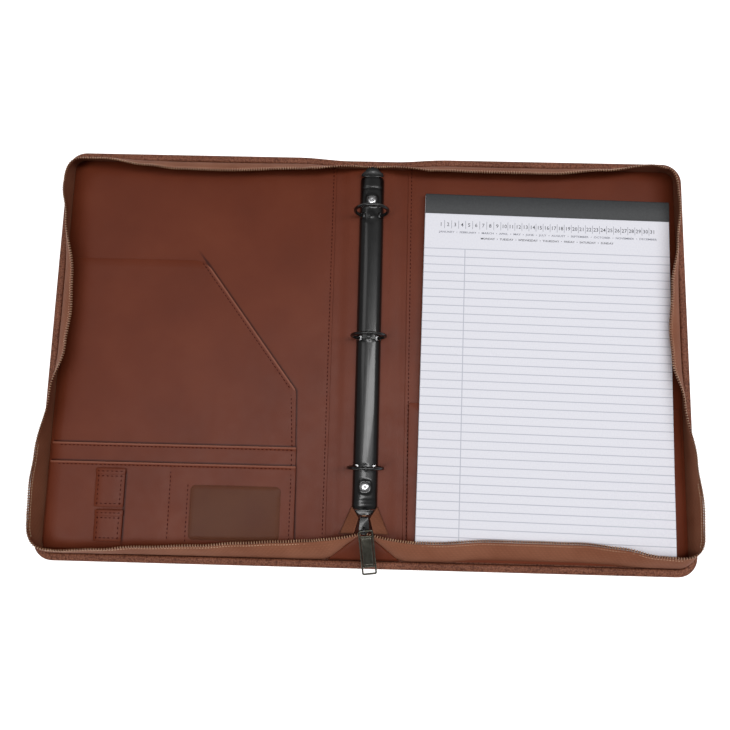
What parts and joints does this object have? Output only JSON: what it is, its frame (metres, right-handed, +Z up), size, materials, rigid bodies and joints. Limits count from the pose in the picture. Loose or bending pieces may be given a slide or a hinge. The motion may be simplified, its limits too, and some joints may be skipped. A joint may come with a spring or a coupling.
{
  "type": "portfolio case",
  "caption": "Zip-round document case that opens flat, with pockets in one cover, a ring binder on the spine and a ruled writing pad in the other cover.",
  "frame": {"origin": "middle of the spine's underside, where the open case rests", "axes": "+X across both covers towards the pad, +Y towards the top of the pages, +Z up"},
  "size_m": [0.544, 0.3556, 0.0358],
  "materials": {
    "grained_leather": "pebble-grained coated leather",
    "smooth_leather": "smooth coated leather, satin",
    "foam": "soft foam padding",
    "board": "grey board",
    "tape": "woven zip tape",
    "coil": "moulded coil",
    "film": "clear film",
    "black_steel": "gloss black enamel",
    "bright_steel": "bright plating",
    "gunmetal": "dark gunmetal plating",
    "paper": "ruled writing paper",
    "binding": "black binding tape",
    "card": "pad backing card"
  },
  "bodies": {
    "spine": {"spine_skin": "grained_leather", "spine_foam": "foam", "spine_board": "board", "spine_lining": "smooth_leather", "ring_housing": "black_steel", "rivet_bottom": "bright_steel", "rivet_top": "bright_steel", "zip_end_gusset": "smooth_leather", "zip_end_tape_front": "tape", "zip_end_tape_back": "tape", "zip_end_coil": "coil"},
    "front_cover": {"front_skin": "grained_leather", "front_foam": "foam", "front_board": "board", "front_lining": "smooth_leather", "document_pocket": "smooth_leather", "card_strip_upper": "smooth_leather", "card_strip_lower": "smooth_leather", "id_window": "film", "pen_loop_upper": "smooth_leather", "pen_loop_lower": "smooth_leather", "front_zip_tape": "tape", "front_zip_coil": "coil", "front_bridge_bottom": "tape", "front_bridge_top": "tape"},
    "back_cover": {"back_skin": "grained_leather", "back_foam": "foam", "back_board": "board", "back_lining": "smooth_leather", "pad_sleeve": "smooth_leather", "back_zip_tape": "tape", "back_zip_coil": "coil", "back_bridge_bottom": "tape", "back_bridge_top": "tape"},
    "pad": {"pad_card": "card", "pad_pages": "paper", "pad_binding": "binding"},
    "pad_sheet": {"pad_top_sheet": "paper"},
    "left_rings": {"left_rail": "bright_steel", "left_ring_bottom": "black_steel", "left_ring_middle": "black_steel", "left_ring_top": "black_steel"},
    "right_rings": {"right_rail": "bright_steel", "right_ring_bottom": "black_steel", "right_ring_middle": "black_steel", "right_ring_top": "black_steel"},
    "top_lever": {"top_lever": "black_steel"},
    "bottom_lever": {"bottom_lever": "black_steel"},
    "zip_slider": {"slider_body": "black_steel", "slider_bail": "black_steel"},
    "zip_pull": {"pull_frame": "gunmetal", "pull_plate": "gunmetal"}
  },
  "joints": [
    {"name": "front_fold", "type": "hinge", "parent": "spine", "child": "front_cover", "pos_m": [-0.026, 0, 0.001], "axis": [0, 1, 0], "range_deg": [0, 90], "deforming": ["front_bridge_bottom", "front_bridge_top"]},
    {"name": "back_fold", "type": "hinge", "parent": "spine", "child": "back_cover", "pos_m": [0.026, 0, 0.001], "axis": [0, -1, 0], "range_deg": [0, 90], "deforming": ["back_bridge_bottom", "back_bridge_top"]},
    {"name": "left_ring_open", "type": "hinge", "parent": "spine", "child": "left_rings", "pos_m": [-0.0085, 0.0137, 0.0066], "axis": [0, 1, 0], "range_deg": [-20, 0]},
    {"name": "right_ring_open", "type": "hinge", "parent": "spine", "child": "right_rings", "pos_m": [0.0085, 0.0137, 0.0066], "axis": [0, 1, 0], "range_deg": [0, 20]},
    {"name": "top_lever_press", "type": "hinge", "parent": "spine", "child": "top_lever", "pos_m": [0, 0.153, 0.0084], "axis": [1, 0, 0], "range_deg": [-20, 0]},
    {"name": "bottom_lever_press", "type": "hinge", "parent": "spine", "child": "bottom_lever", "pos_m": [0, -0.1245, 0.0084], "axis": [1, 0, 0], "range_deg": [0, 20]},
    {"name": "zip_slide", "type": "slide", "parent": "spine", "child": "zip_slider", "axis": [0, 1, 0], "range_m": [-0.006, 0]},
    {"name": "pull_flip", "type": "hinge", "parent": "zip_slider", "child": "zip_pull", "pos_m": [0.0012, -0.1432, 0.026], "axis": [0.9925, 0.1219, 0], "range_deg": [-165, 0]},
    {"name": "pad_slide", "type": "slide", "parent": "back_cover", "child": "pad", "axis": [0.0175, 0.9998, 0], "range_m": [0, 0.018]},
    {"name": "sheet_flip", "type": "hinge", "parent": "pad", "child": "pad_sheet", "pos_m": [0.1515, 0.12298, 0.01085], "axis": [-0.9998, 0.0175, 0], "range_deg": [0, 150], "deforming": ["pad_top_sheet"]}
  ],
  "couplings": [
    {"joint": "right_ring_open", "follows": "left_ring_open", "ratio": -1},
    {"joint": "top_lever_press", "follows": "left_ring_open", "ratio": 1},
    {"joint": "bottom_lever_press", "follows": "left_ring_open", "ratio": -1}
  ]
}
